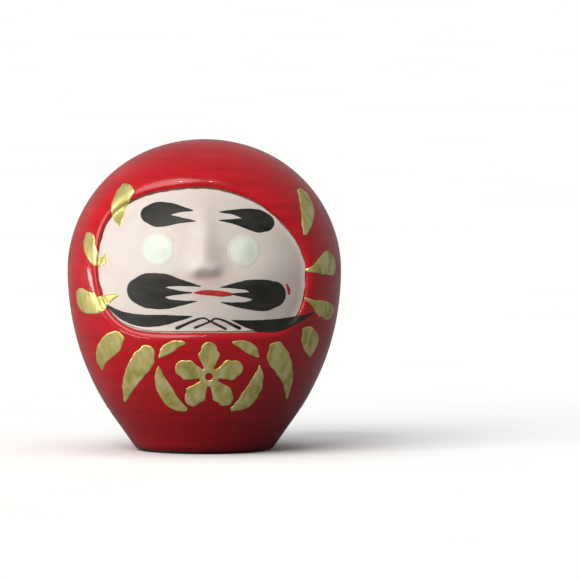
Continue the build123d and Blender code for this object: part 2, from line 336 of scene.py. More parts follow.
def hand_made(points):
    """The unevenness of pressed paper: sides drawn in by up to a tenth of a millimetre."""
    out = points.copy()
    for i, p in enumerate(points):
        wave = 0.5 + 0.5 * noise.noise(Vector(p) / WARP_LENGTH)
        fade = min(max((p[2] - SEAM_HEIGHT - WARP_START) / WARP_FADE, 0.0), 1.0)
        out[i, :2] *= 1 - WARP * min(max(wave, 0.0), 1.0) * fade
    return out


# ---- making pieces -------------------------------------------------------------
def make_piece(name, points, faces, material, stands_for):
    """A smooth piece from points in millimetres, riding on the one body."""
    mesh = bpy.data.meshes.new(name)
    mesh.from_pydata((hand_made(np.asarray(points)) * MM).tolist(), [], faces)
    mesh.materials.append(material)
    mesh.update()
    mesh.shade_smooth()
    piece = bpy.data.objects.new(name, mesh)
    bpy.context.scene.collection.objects.link(piece)
    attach(piece, "root")
    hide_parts(*stands_for)
    return piece


def triangulate(points, loops):
    """Delaunay triangles over the points, with the loops' edges kept."""
    edges = []
    for first, count in loops:
        edges += [(first + i, first + (i + 1) % count) for i in range(count)]
    result = delaunay_2d_cdt([Vector(p) for p in points], edges, [], 0, 1e-5)
    return np.array([tuple(v) for v in result[0]]), [tuple(f) for f in result[2]]


def grid_inside(loops, step):
    """Points of a staggered grid over the loops' area."""
    every = np.vstack(loops)
    low, high = every.min(axis=0), every.max(axis=0)
    rows = []
    for j, z in enumerate(np.arange(low[1] + step / 2, high[1], step * 0.866)):
        xs = np.arange(low[0] + (j % 2) * step / 2, high[0], step)
        rows.append(np.column_stack([xs, np.full(len(xs), z)]))
    points = np.vstack(rows)
    keep = np.zeros(len(points), dtype=bool)
    for loop in loops:
        keep |= inside(points, loop)
    return points[keep]


def flat_patch(loops, holes, edge, step):
    """Points and triangles, seen from the front, of the area inside the loops."""
    outlines = [np.asarray(loop) for loop in loops + holes]
    marks = []
    first = 0
    for loop in outlines:
        marks.append((first, len(loop)))
        first += len(loop)
    # Two rows of points follow each outline inside its edge, so the rounding is even.
    insets = [loop - outward_normals(loop) * edge * share for loop in loops for share in (0.3, 1.0)]
    filling = np.vstack([grid_inside(loops, step)] + insets)
    ends = np.vstack([np.roll(loop, -1, 0) for loop in outlines])
    loose = distance_to(filling, np.vstack(outlines), ends)
    filling = filling[loose > 0.25 * edge]
    flat, triangles = triangulate(np.vstack(outlines + [filling]), marks)
    middles = np.array([flat[list(t)].mean(axis=0) for t in triangles])
    painted = np.zeros(len(triangles), dtype=bool)
    for loop in loops:
        painted |= inside(middles, np.asarray(loop))
    for loop in holes:
        painted &= ~inside(middles, np.asarray(loop))
    triangles = [t for t, wanted in zip(triangles, painted) if wanted]
    used = sorted({i for t in triangles for i in t})
    renumber = {old: new for new, old in enumerate(used)}
    return flat[used], [tuple(renumber[i] for i in t) for t in triangles]


def paint_patch(
    name, loops, holes, height, edge, step, material, stands_for, dome=0.0, over_white=True
):
    """Paint laid on the front surface inside the loops, with rounded edges."""
    flat, triangles = flat_patch(loops, holes, edge, step)
    border = border_edges(triangles)
    starts = flat[[a for a, b in border]]
    ends = flat[[b for a, b in border]]
    from_edge = distance_to(flat, starts, ends)
    t = np.clip(from_edge / edge, 0, 1)
    on_edge = from_edge < 1e-6
    lift = height * np.sqrt(1 - (1 - t) ** 2) + dome_lift(from_edge, dome)
    lift -= PAINT_EDGE_SINK * on_edge
    if over_white:
        lift += FACE_PAINT * smooth_step((rim_distance(flat) + WHITE_REACH) / WHITE_RISE)
    top = front_points(flat, lift)
    bottom = front_points(flat, np.full(len(flat), -PAINT_ROOT))
    count = len(flat)
    faces = [facing_front(t, flat) for t in triangles]
    under = [tuple(count + i for i in reversed(face)) for face in faces]
    walls = [(b, a, count + a, count + b) for a, b in border_edges(faces)]
    points = np.vstack([top, bottom])
    return make_piece(name, points, faces + under + walls, material, stands_for)


def dome_lift(from_edge, dome):
    """Height of a dome over a spot whose middle is the farthest from its edge."""
    reach = max(from_edge.max(), 1e-6)
    return dome * smooth_step(from_edge / reach)


def facing_front(triangle, flat):
    """The triangle wound so that it faces -Y."""
    a, b, c = (flat[i] for i in triangle)
    turn = (b[0] - a[0]) * (c[1] - a[1]) - (b[1] - a[1]) * (c[0] - a[0])
    return triangle if turn > 0 else triangle[::-1]


def border_edges(triangles):
    """Edges that belong to one triangle only, in that triangle's direction."""
    seen = {}
    for t in triangles:
        for k in range(3):
            a, b = t[k], t[(k + 1) % 3]
            seen[(a, b)] = seen.get((a, b), 0) + 1
    return [(a, b) for (a, b) in seen if (b, a) not in seen]


# ---- materials -----------------------------------------------------------------
class Recipe:
    """A material being built, with short calls for its nodes."""

    def __init__(self, name, color, roughness, **sockets):
        self.material = bpy.data.materials.new(name)
        self.material.use_nodes = True
        self.nodes = self.material.node_tree.nodes
        self.links = self.material.node_tree.links
        self.shader = self.nodes["Principled BSDF"]
        self.shader.inputs["Base Color"].default_value = (*color, 1)
        self.shader.inputs["Roughness"].default_value = roughness
        for socket, value in sockets.items():
            self.shader.inputs[socket.replace("_", " ")].default_value = value
        self.place = self.nodes.new("ShaderNodeTexCoord").outputs["Object"]

    def stretched(self, scale):
        """The object's coordinates with each axis scaled, per millimetre."""
        mapping = self.nodes.new("ShaderNodeMapping")
        mapping.inputs["Scale"].default_value = [s / MM for s in scale]
        self.links.new(self.place, mapping.inputs["Vector"])
        return mapping.outputs["Vector"]

    def noise(self, scale, detail=3.0, rough=0.5, distortion=0.0):
        texture = self.nodes.new("ShaderNodeTexNoise")
        self.links.new(self.stretched(scale), texture.inputs["Vector"])
        texture.inputs["Scale"].default_value = 1.0
        texture.inputs["Detail"].default_value = detail
        texture.inputs["Roughness"].default_value = rough
        texture.inputs["Distortion"].default_value = distortion
        return texture.outputs["Fac"]

    def spot(self, centre, size):
        """1 at centre, falling to 0 at size away, in millimetres."""
        mapping = self.nodes.new("ShaderNodeMapping")
        mapping.inputs["Scale"].default_value = [1 / (s * MM) for s in size]
        mapping.inputs["Location"].default_value = [-c / s for c, s in zip(centre, size)]
        self.links.new(self.place, mapping.inputs["Vector"])
        gradient = self.nodes.new("ShaderNodeTexGradient")
        gradient.gradient_type = "QUADRATIC_SPHERE"
        self.links.new(mapping.outputs["Vector"], gradient.inputs["Vector"])
        return gradient.outputs["Fac"]

    def ramp(self, value, *stops):
        """A colour ramp: each stop is (position, colour or grey)."""
        ramp = self.nodes.new("ShaderNodeValToRGB")
        elements = ramp.color_ramp.elements
        while len(elements) < len(stops):
            elements.new(0.5)
        for element, (position, color) in zip(elements, stops):
            grey = (color,) * 3 if isinstance(color, (int, float)) else color
            element.position = position
            element.color = (*grey, 1)
        self.links.new(value, ramp.inputs["Fac"])
        return ramp.outputs["Color"]

    def mix(self, share, first, second):
        """first where share is 0 and second where it is 1."""
        mix = self.nodes.new("ShaderNodeMix")
        mix.data_type = "RGBA"
        for socket, value in ((0, share), (6, first), (7, second)):
            if isinstance(value, tuple):
                mix.inputs[socket].default_value = (*value, 1)
            else:
                self.links.new(value, mix.inputs[socket])
        return mix.outputs[2]

    def height_of(self):
        """The point's height in millimetres."""
        split = self.nodes.new("ShaderNodeSeparateXYZ")
        self.links.new(self.stretched((1, 1, 1)), split.inputs["Vector"])
        return split.outputs["Z"]

    def scaled(self, value, whole):
        """The value as a share of a whole."""
        divide = self.nodes.new("ShaderNodeMath")
        divide.operation = "DIVIDE"
        self.links.new(value, divide.inputs[0])
        divide.inputs[1].default_value = whole
        return divide.outputs[0]

    def color(self, value):
        self.links.new(value, self.shader.inputs["Base Color"])

    def roughness(self, value):
        self.links.new(value, self.shader.inputs["Roughness"])

    def bumps(self, *layers):
        """Bump layers, each (height value, depth in millimetres)."""
        normal = None
        for value, depth in layers:
            bump_node = self.nodes.new("ShaderNodeBump")
            bump_node.inputs["Distance"].default_value = depth * MM
            self.links.new(value, bump_node.inputs["Height"])
            if normal is not None:
                self.links.new(normal, bump_node.inputs["Normal"])
            normal = bump_node.outputs["Normal"]
        self.links.new(normal, self.shader.inputs["Normal"])


def red_lacquer():
    """Brushed red, darker in patches and towards the bottom, with painted shade at the foot."""
    recipe = Recipe(
        "red_lacquer", (0.56, 0.006, 0.012), 0.3, IOR=1.34, Coat_Weight=0.45, Coat_Roughness=0.05
    )
    streaks = recipe.noise((0.1, 0.1, 1.3), detail=3.0, distortion=0.4)
    patches = recipe.noise((0.16, 0.16, 0.2), detail=2.0)
    deep = (0.38, 0.003, 0.008)
    fresh = (0.56, 0.005, 0.011)
    pale = (0.66, 0.012, 0.018)
    streaked = recipe.ramp(streaks, (0.15, deep), (0.5, fresh), (0.85, pale))
    red = recipe.mix(recipe.ramp(patches, (0.35, 0.0), (0.7, 0.6)), streaked, (0.44, 0.003, 0.010))
    height = recipe.scaled(recipe.height_of(), HEIGHT)
    # Darker towards the bottom of the doll.
    darker_toward_bottom = recipe.ramp(height, (0.10, 0.75), (0.32, 0.3), (0.5, 0.0))
    red = recipe.mix(darker_toward_bottom, red, (0.25, 0.002, 0.006))
    # Painted shade: the red goes nearly black at the foot.
    painted_foot_shade = recipe.ramp(height, (0.0, 0.9), (0.03, 0.0))
    recipe.color(recipe.mix(painted_foot_shade, red, (0.045, 0.003, 0.005)))
    recipe.roughness(recipe.ramp(patches, (0.3, 0.20), (0.7, 0.38)))
    pulp = recipe.noise((0.3, 0.3, 0.3), detail=2.0)
    drag = recipe.noise((0.12, 0.12, 1.6), detail=2.0)
    dimples = recipe.noise((0.9, 0.9, 1.1), detail=2.0)
    recipe.bumps((pulp, 0.14), (drag, 0.03), (dimples, 0.035))
    return recipe.material


# Pink spots on the white: centre, size, strength. The first two are painted shade, under the nose
# and under the brow's lip; in the last two, red shows through the white near the rim.
PINK_SPOTS_AND_SHADE = (
    # painted shade under the nose
    ((0.5, -20, 26.9), (5.0, 9, 2.8), 0.7),
    # painted shade under the brow's lip
    ((0.5, -18, 38.2), (8.0, 9, 3.0), 0.3),
    # red showing through the white near the rim
    ((-12.0, -14, 21.0), (5.0, 9, 3.0), 0.35),
    ((2.0, -18, 20.0), (7.0, 9, 1.8), 0.35),
)


def face_white():
    """Warm white with a slight wash, painted pink shade under the nose and under the brow's lip,
    and pinker near the rim.
    """
    recipe = Recipe("face_white", (0.73, 0.65, 0.61), 0.5, Subsurface_Weight=0.08, IOR=1.35)
    recipe.shader.inputs["Subsurface Scale"].default_value = 0.4 * MM
    wash = recipe.noise((0.22, 0.22, 0.3), detail=3.0)
    rosy = (0.70, 0.60, 0.565)
    plain = (0.74, 0.66, 0.62)
    greenish = (0.70, 0.665, 0.60)
    white = recipe.ramp(wash, (0.3, rosy), (0.5, plain), (0.7, greenish))
    # Pink mixed in: painted shade under the nose and under the brow's lip, and red showing through
    # near the rim.
    for centre, size, strength in PINK_SPOTS_AND_SHADE:
        share = recipe.ramp(recipe.spot(centre, size), (0.0, 0.0), (1.0, strength))
        white = recipe.mix(share, white, (0.68, 0.43, 0.42))
    recipe.color(white)
    strokes = recipe.noise((0.3, 0.3, 1.8), detail=3.0)
    recipe.roughness(recipe.ramp(strokes, (0.3, 0.42), (0.7, 0.6)))
    recipe.bumps((recipe.noise((0.35, 0.35, 0.35)), 0.08), (strokes, 0.02))
    return recipe.material


def eye_white():
    """Greenish white that thins out to the face's white round each eye."""
    recipe = Recipe("eye_white", (0.78, 0.85, 0.76), 0.34, IOR=1.4)
    wash = recipe.noise((0.5, 0.5, 0.5), detail=2.0)
    color = (0.73, 0.655, 0.615)
    pale = recipe.ramp(wash, (0.3, (0.72, 0.80, 0.69)), (0.7, (0.82, 0.87, 0.79)))
    for side in ("left", "right"):
        middle = [(a + b) / 2 / MM for a, b in zip(EYE_LOW[side], EYE_HIGH[side])]
        share = recipe.ramp(recipe.spot(middle, (3.0, 6.0, 3.0)), (0.02, 0.0), (0.13, 1.0))
        color = recipe.mix(share, color, pale)
    recipe.color(color)
    recipe.roughness(recipe.ramp(wash, (0.3, 0.3), (0.7, 0.42)))
    recipe.bumps((recipe.noise((0.9, 0.9, 0.9)), 0.05))
    return recipe.material


def gold_paint():
    """Thin metallic paint, from olive where it is thin to cream where it pools."""
    recipe = Recipe("gold_paint", (0.55, 0.53, 0.22), 0.36, Metallic=0.6)
    flow = recipe.noise((0.7, 0.7, 0.4), detail=3.0, distortion=0.5)
    olive = (0.46, 0.43, 0.11)
    plain = (0.70, 0.63, 0.21)
    pale = (0.95, 0.88, 0.50)
    recipe.color(recipe.ramp(flow, (0.3, olive), (0.5, plain), (0.75, pale)))
    flakes = recipe.noise((7.0, 7.0, 7.0), detail=2.0)
    recipe.roughness(recipe.ramp(flow, (0.3, 0.42), (0.7, 0.26)))
    recipe.bumps((flow, 0.045), (flakes, 0.015))
    return recipe.material


def black_ink():
    """Matt brushed ink, greyer where it is thin."""
    recipe = Recipe("black_ink", (0.018, 0.016, 0.016), 0.5, IOR=1.4)
    wash = recipe.noise((0.35, 0.35, 0.9), detail=3.0)
    recipe.color(recipe.ramp(wash, (0.25, (0.007, 0.008, 0.007)), (0.8, (0.040, 0.038, 0.032))))
    recipe.roughness(recipe.ramp(wash, (0.3, 0.42), (0.7, 0.6)))
    recipe.bumps((recipe.noise((0.6, 0.6, 2.2), detail=3.0), 0.02))
    return recipe.material


def lip_red():
    """Thin red for the mouth and the cheek ticks."""
    recipe = Recipe("lip_red", (0.52, 0.03, 0.03), 0.4)
    wash = recipe.noise((0.9, 0.9, 1.4))
    recipe.color(recipe.ramp(wash, (0.3, (0.40, 0.015, 0.015)), (0.7, (0.56, 0.035, 0.035))))
    recipe.roughness(recipe.ramp(wash, (0.3, 0.35), (0.7, 0.5)))
    recipe.bumps((wash, 0.03))
    return recipe.material


def paper_pulp():
    """Bare moulded paper, fibrous and matt."""
    recipe = Recipe("paper_pulp", (0.62, 0.56, 0.46), 0.9)
    fibre = recipe.noise((1.2, 1.2, 1.2), detail=6.0, rough=0.7)
    recipe.color(recipe.ramp(fibre, (0.3, (0.52, 0.46, 0.36)), (0.7, (0.70, 0.65, 0.55))))
    recipe.bumps((fibre, 0.1))
    return recipe.material


def pressed_clay():
    """Dry grainy clay."""
    recipe = Recipe("pressed_clay", (0.46, 0.37, 0.29), 0.85)
    grain = recipe.noise((1.6, 1.6, 1.6), detail=6.0, rough=0.65)
    recipe.color(recipe.ramp(grain, (0.3, (0.38, 0.30, 0.23)), (0.7, (0.54, 0.45, 0.36))))
    recipe.bumps((grain, 0.08))
    return recipe.material


def black_paper():
    """The dark paper disc under the base."""
    recipe = Recipe("black_paper", (0.035, 0.032, 0.032), 0.75)
    fibre = recipe.noise((2.0, 2.0, 2.0), detail=6.0, rough=0.7)
    recipe.color(recipe.ramp(fibre, (0.3, (0.022, 0.020, 0.020)), (0.7, (0.055, 0.050, 0.048))))
    recipe.bumps((fibre, 0.04))
    return recipe.material


def pale_floor():
    """A pale floor that throws little light back up on the doll."""
    recipe = Recipe("pale_floor", (0.9, 0.9, 0.9), 0.9, Specular_IOR_Level=0.1)
    pale = recipe.ramp(recipe.noise((0.02, 0.02, 0.02)), (0.3, 0.96), (0.7, 0.98))
    ray = recipe.nodes.new("ShaderNodeLightPath")
    recipe.color(recipe.mix(ray.outputs["Is Camera Ray"], (0.2, 0.2, 0.2), pale))
    return recipe.material


RED = red_lacquer()
WHITE = face_white()
EYE = eye_white()
GOLD_PAINT = gold_paint()
BLACK = black_ink()
LIPS = lip_red()
PULP = paper_pulp()
CLAY = pressed_clay()
BLACK_PAPER = black_paper()


# ---- the lacquered body ----------------------------------------------------------
SKIN_STEP = 0.55
SKIN_COLUMNS = 221
LIP_RINGS = 15
RIM_CLEARANCE = 0.22


def body_profile(inward, step):
    """(radius, height) from the coat's lower edge up to near the top, closer round the seam."""
    slope = atan2(SEAM_HEIGHT, across_at_seam(0) - BASE_RADIUS)
    reach = BASE_EDGE_ROUND / np.tan((pi - slope) / 2)
    centre = (BASE_RADIUS - reach - inward, BASE_EDGE_ROUND)
    start = asin((COAT_BOTTOM - BASE_EDGE_ROUND) / BASE_EDGE_ROUND)
    angles = np.linspace(start, slope - pi / 2, 9)
    edge = np.column_stack([centre[0] + BASE_EDGE_ROUND * np.cos(angles),
                            centre[1] + BASE_EDGE_ROUND * np.sin(angles)])
    heights = list(np.arange(edge[-1, 1] + step, SEAM_HEIGHT - 0.6, step))
    heights += list(SEAM_HEIGHT + np.linspace(-0.5, 0.5, 11))
    heights += list(np.arange(SEAM_HEIGHT + 0.8, BELLY_HEIGHT, step))
    shoulder_angle = np.arange(0.03, CROWN_ANGLE, step / SHOULDER_ARC_RADIUS)
    heights += list(BELLY_HEIGHT + SHOULDER_ARC_RADIUS * np.sin(shoulder_angle))
    heights = np.array(heights)
    wall = np.column_stack([radius_at(heights, inward), heights])
    crown_angle = np.linspace(CROWN_ANGLE, pi / 2 - 0.02, 24)
    crown_radius = CROWN_ARC_RADIUS - inward
    crown = np.column_stack([crown_radius * np.cos(crown_angle),
                             CROWN_CENTRE[1] + crown_radius * np.sin(crown_angle)])
    return np.vstack([edge, wall, crown])


def ring_of_lip(offset, under=0.0):
    """The rim's loop moved outward over the lip, laid on the surface."""
    loop = RIM + RIM_OUT * (lip_width(RIM[:, 1]) * offset)[:, None]
    gap = -lip_width(loop[:, 1]) * offset
    return loop, np.column_stack([loop[:, 0], front_y(loop, gap, under), loop[:, 1]])


def lip_rings():
    """Rings of points over the rounded lip, from the rim outward."""
    turns = np.sin(np.linspace(pi / 2, 0, LIP_RINGS))
    return [ring_of_lip(1 - turn) for turn in turns]


def ring_quads(first, second, count):
    """Faces between two rings of points, given by their first points."""
    quads = []
    for i in range(count):
        k = (i + 1) % count
        quads.append((second + i, second + k, first + k, first + i))
    return quads


def skin_outside(hole_loop, profile):
    """The skin round the lip: its points, its triangles and the row nearest the top.

    It is triangulated unrolled, with the turn round the doll across and the way
    along the profile upward. Its first points are the hole's.
    """
    along = np.concatenate([[0], np.cumsum(np.linalg.norm(np.diff(profile, axis=0), axis=1))])
    columns = np.linspace(-pi, pi, SKIN_COLUMNS)
    hole_turn = np.arcsin(hole_loop[:, 0] / radius_at(hole_loop[:, 1]))
    hole_along = np.interp(hole_loop[:, 1], profile[:, 1], along)
    hole = np.column_stack([hole_turn * BELLY_RADIUS, hole_along])
    grid = np.array([(turn * BELLY_RADIUS, s) for s in along for turn in columns])
    clear = ~inside(grid, hole)
    clear &= distance_to(grid, hole, np.roll(hole, -1, 0)) > RIM_CLEARANCE
    flat, triangles = triangulate(np.vstack([hole, grid[clear]]), [(0, len(hole))])
    middles = np.array([flat[list(t)].mean(axis=0) for t in triangles])
    outside = ~inside(middles, hole)
    turn = flat[:, 0] / BELLY_RADIUS
    radius = np.interp(flat[:, 1], along, profile[:, 0])
    height = np.interp(flat[:, 1], along, profile[:, 1])
    radius[:len(hole)] = radius_at(hole_loop[:, 1])
    height[:len(hole)] = hole_loop[:, 1]
    points = np.column_stack([radius * np.sin(turn), -radius * np.cos(turn), height])
    faces = [facing_front(t, flat) for t, keep in zip(triangles, outside) if keep]
    top_row = list(np.nonzero(flat[:, 1] > along[-1] - 1e-6)[0])
    top_row.sort(key=lambda i: flat[i, 0])
    return points, faces, top_row


def lacquered_body():
    """Skin of the whole doll round the face opening, its lip rounded inward."""
    rings = lip_rings()
    count = len(RIM)
    around, triangles, top_row = skin_outside(rings[-1][0], body_profile(0.0, SKIN_STEP))
    # The outermost ring is the skin's own hole, so the lip's rings stop before it.
    lip = [ring[1] for ring in rings[:-1]]
    first = len(lip) * count
    faces = []
    for j in range(len(lip)):
        faces += ring_quads(j * count, (j + 1) * count, count)
    faces += [tuple(first + i for i in t) for t in triangles]
    crown_tip = first + len(around)
    faces += [(first + a, first + b, crown_tip) for a, b in zip(top_row, top_row[1:])]
    body = np.vstack(lip + [around, [(0.0, 0.0, HEIGHT)]])
    piece = make_piece("lacquered_skin", body, faces, RED, ["red_coat"])
    close_seams(piece)
    thickness = piece.modifiers.new("coat thickness", "SOLIDIFY")
    thickness.thickness = COAT * MM
    thickness.offset = -1
    return piece


def close_seams(piece):
    """Joins the points that meet at the back of the doll and round its top."""
    mesh = bmesh.new()
    mesh.from_mesh(piece.data)
    bmesh.ops.remove_doubles(mesh, verts=mesh.verts, dist=0.002 * MM)
    bmesh.ops.recalc_face_normals(mesh, faces=mesh.faces)
    mesh.to_mesh(piece.data)
    mesh.free()


# ---- the paper shell under the face ------------------------------------------------
def shell_levels():
    """Heights of the shell's rows, closer together over the face."""
    crown_turns = np.linspace(1.06, pi / 2 - 0.03, 10)
    return np.concatenate([
        np.linspace(SEAM_HEIGHT, FACE_BOTTOM - 2, 12),
        np.linspace(FACE_BOTTOM - 1.4, FACE_TOP + 2, 52),
        CROWN_CENTRE[1] + CROWN_ARC_RADIUS * np.sin(crown_turns),
    ])


def shell_sheet(levels, turns, under):
    """Points of one side of the shell, at a depth under the lacquer's surface."""
    follow_lip = 2.5
    rows = []
    for z in levels:
        # Rows move down as they move inward, which keeps the wall's thickness over the crown.
        height = max(z - under * max(z - BELLY_HEIGHT, 0) / SHOULDER_ARC_RADIUS, SEAM_HEIGHT)
        radius = radius_at(height, under)
        flat = np.column_stack([radius * np.sin(turns), np.full(len(turns), height)])
        front = front_y(flat, under=under)
        y = np.where(rim_distance(flat) > -follow_lip, front, -radius * np.cos(turns))
        rows.append(np.column_stack([flat[:, 0], y, flat[:, 1]]))
    return np.vstack(rows)


def front_shell_piece():
    """The front half of the paper body: one closed sheet that follows the lacquer."""
    levels = shell_levels()
    turns = np.linspace(-pi / 2, pi / 2, 91)
    sheets = [shell_sheet(levels, turns, COAT + SHELL_GAP + depth) for depth in (0, SHELL_WALL)]
    across = len(turns)
    up = len(levels)
    count = across * up
    faces = []
    for j in range(up - 1):
        for i in range(across - 1):
            a, b = j * across + i, j * across + i + 1
            faces.append((a, b, b + across, a + across))
            faces.append((count + a + across, count + b + across, count + b, count + a))
    rim = list(range(across)) + [j * across + across - 1 for j in range(1, up)]
    rim += [(up - 1) * across + i for i in range(across - 2, -1, -1)]
    rim += [j * across for j in range(up - 2, 0, -1)]
    for a, b in zip(rim, rim[1:] + rim[:1]):
        faces.append((b, a, count + a, count + b))
    points = np.vstack(sheets)
    return make_piece("front_paper_shell", points, faces, PULP, ["front_shell"])


# ---- the white face, its nose and its eyes ------------------------------------------
def wavering(loop, amount, wave_length, seed):
    """The loop as a hand would paint it, a little uneven."""
    moved = loop.copy()
    for i, (p, out) in enumerate(zip(loop, outward_normals(loop))):
        wave = noise.noise(Vector((p[0] / wave_length, p[1] / wave_length, seed)))
        moved[i] += out * amount * wave
    return moved


def white_face():
    """The face's white, which ends a little inside the rim at its top and bottom."""
    loop = wavering(RIM - RIM_OUT * FACE_PAINT_INSET, 0.12, 1.6, 3.0)
    return paint_patch(
        "face_paint", [loop], [], FACE_PAINT, 0.14, 0.26, WHITE, ["face_coat"],
        over_white=False,
    )


def nose_lump():
    """The lump of paper clay under the paint of the nose."""
    paint_over_it = 0.1
    thickness = 1.0
    outline = open_curve(
        [(0.0, NOSE_TOP - 1.0), (-0.8, 33.0), (-1.9, 29.5), (-1.9, 27.6), (0.0, 27.0)], 10
    )
    mirrored = outline[-2:0:-1] * [-1, 1]
    loop = even_spacing(np.vstack([outline, mirrored]), 0.25)
    filling = grid_inside([loop], 0.3)
    points, triangles = triangulate(np.vstack([loop, filling]), [(0, len(loop))])
    middles = np.array([points[list(t)].mean(axis=0) for t in triangles])
    kept = [facing_front(t, points) for t, ok in zip(triangles, inside(middles, loop)) if ok]
    top = front_points(points, np.full(len(points), -paint_over_it))
    bottom = top + [0, thickness, 0]
    count = len(points)
    faces = kept + [tuple(count + i for i in reversed(t)) for t in kept]
    faces += [(b, a, count + a, count + b) for a, b in border_edges(kept)]
    return make_piece("nose_lump", np.vstack([top, bottom]), faces, WHITE, ["nose"])


def eye_spot(side, seed):
    """A blank, slightly domed eye, a little wider than its CAD node."""
    low = np.array(EYE_LOW[side]) / MM
    high = np.array(EYE_HIGH[side]) / MM
    centre = (low + high)[[0, 2]] / 2
    half = (high - low)[[0, 2]] / 2 + 0.1
    turn = np.linspace(0, 2 * pi, 72, endpoint=False)
    oval = centre + np.column_stack([half[0] * np.cos(turn), half[1] * np.sin(turn)])
    loop = wavering(oval, 0.1, 1.5, seed)
    return paint_patch(
        f"eye_{side}_paint", [loop], [], EYE_FILM, 0.3, 0.22, EYE, [f"eye_{side}"],
        dome=EYE_DOME,
    )


# ---- brush strokes --------------------------------------------------------------------
# A mark is a list of strokes, and a stroke is rows of (x, z, half width) along its middle.
INK_MARKS = {
    "brow_left": [
        [(-8.3, 36.3, 1.25), (-6.9, 36.8, 1.4), (-5.3, 37.2, 0.95),
         (-3.6, 37.2, 0.5), (-1.7, 37.0, 0.08)],
        [(-8.3, 36.3, 1.25), (-6.9, 35.9, 1.4), (-5.3, 35.6, 0.85),
         (-3.6, 35.6, 0.45), (-1.2, 35.5, 0.08)],
    ],
    "brow_right": [
        [(9.2, 35.1, 1.3), (7.8, 35.8, 1.35), (6.2, 36.4, 0.85),
         (4.4, 36.75, 0.4), (2.2, 36.8, 0.08)],
        [(9.2, 35.1, 1.3), (8.0, 35.0, 1.3), (6.4, 35.1, 0.85),
         (4.4, 35.4, 0.4), (2.2, 35.6, 0.08)],
    ],
    "moustache_left": [
        [(-9.6, 25.1, 2.0), (-8.0, 26.0, 1.9), (-5.9, 26.7, 1.05),
         (-3.4, 26.4, 0.5), (-0.6, 25.9, 0.08)],
        [(-9.6, 25.1, 2.0), (-7.6, 25.0, 1.3), (-5.5, 25.0, 0.65),
         (-3.6, 24.95, 0.3), (-1.8, 24.95, 0.08)],
        [(-9.6, 25.1, 2.0), (-8.0, 24.2, 1.85), (-5.9, 23.3, 0.9),
         (-3.4, 23.4, 0.4), (-1.1, 23.7, 0.08)],
    ],
    "moustache_right": [
        [(10.2, 24.5, 2.0), (8.6, 25.3, 1.6), (6.6, 26.0, 0.85),
         (4.6, 25.95, 0.45), (2.4, 25.75, 0.08)],
        [(10.2, 24.5, 2.0), (8.4, 24.35, 1.0), (6.8, 24.5, 0.5),
         (5.2, 24.65, 0.28), (3.8, 24.75, 0.08)],
        [(10.2, 24.5, 2.0), (8.8, 23.5, 1.55), (6.8, 23.0, 0.7),
         (4.6, 23.15, 0.35), (2.5, 23.5, 0.08)],
    ],
    "beard_left": [
        [(-14.7, 22.7, 0.1), (-12.3, 21.25, 0.65), (-9.3, 20.6, 0.95),
         (-6.1, 20.8, 0.8), (-1.8, 21.4, 0.08)],
    ],
    "beard_right": [
        [(4.1, 20.8, 0.08), (7.5, 19.95, 0.8), (10.7, 19.85, 0.98),
         (13.7, 20.5, 0.6), (16.3, 21.4, 0.1)],
    ],
    "chin_whiskers": [
        [(-4.1, 19.6, 0.27), (-1.6, 20.75, 0.19), (-0.1, 21.15, 0.14),
         (0.9, 20.65, 0.16), (3.15, 19.5, 0.22)],
        [(-1.4, 19.7, 0.2), (0.9, 20.65, 0.16), (1.5, 21.05, 0.14),
         (2.8, 20.8, 0.18), (5.25, 19.55, 0.28)],
    ],
}
RED_MARKS = {
    "mouth": [
        [(-1.5, 24.95, 0.12), (-0.2, 25.0, 0.36), (1.3, 24.9, 0.44),
         (2.8, 24.75, 0.42), (3.9, 24.7, 0.24)],
    ],
    "cheek_tick_left": [[(-15.6, 25.4, 0.12), (-15.5, 24.8, 0.23), (-15.3, 24.3, 0.12)]],
    "cheek_tick_right": [[(12.3, 25.9, 0.15), (12.6, 25.2, 0.24), (12.65, 24.5, 0.15)]],
}
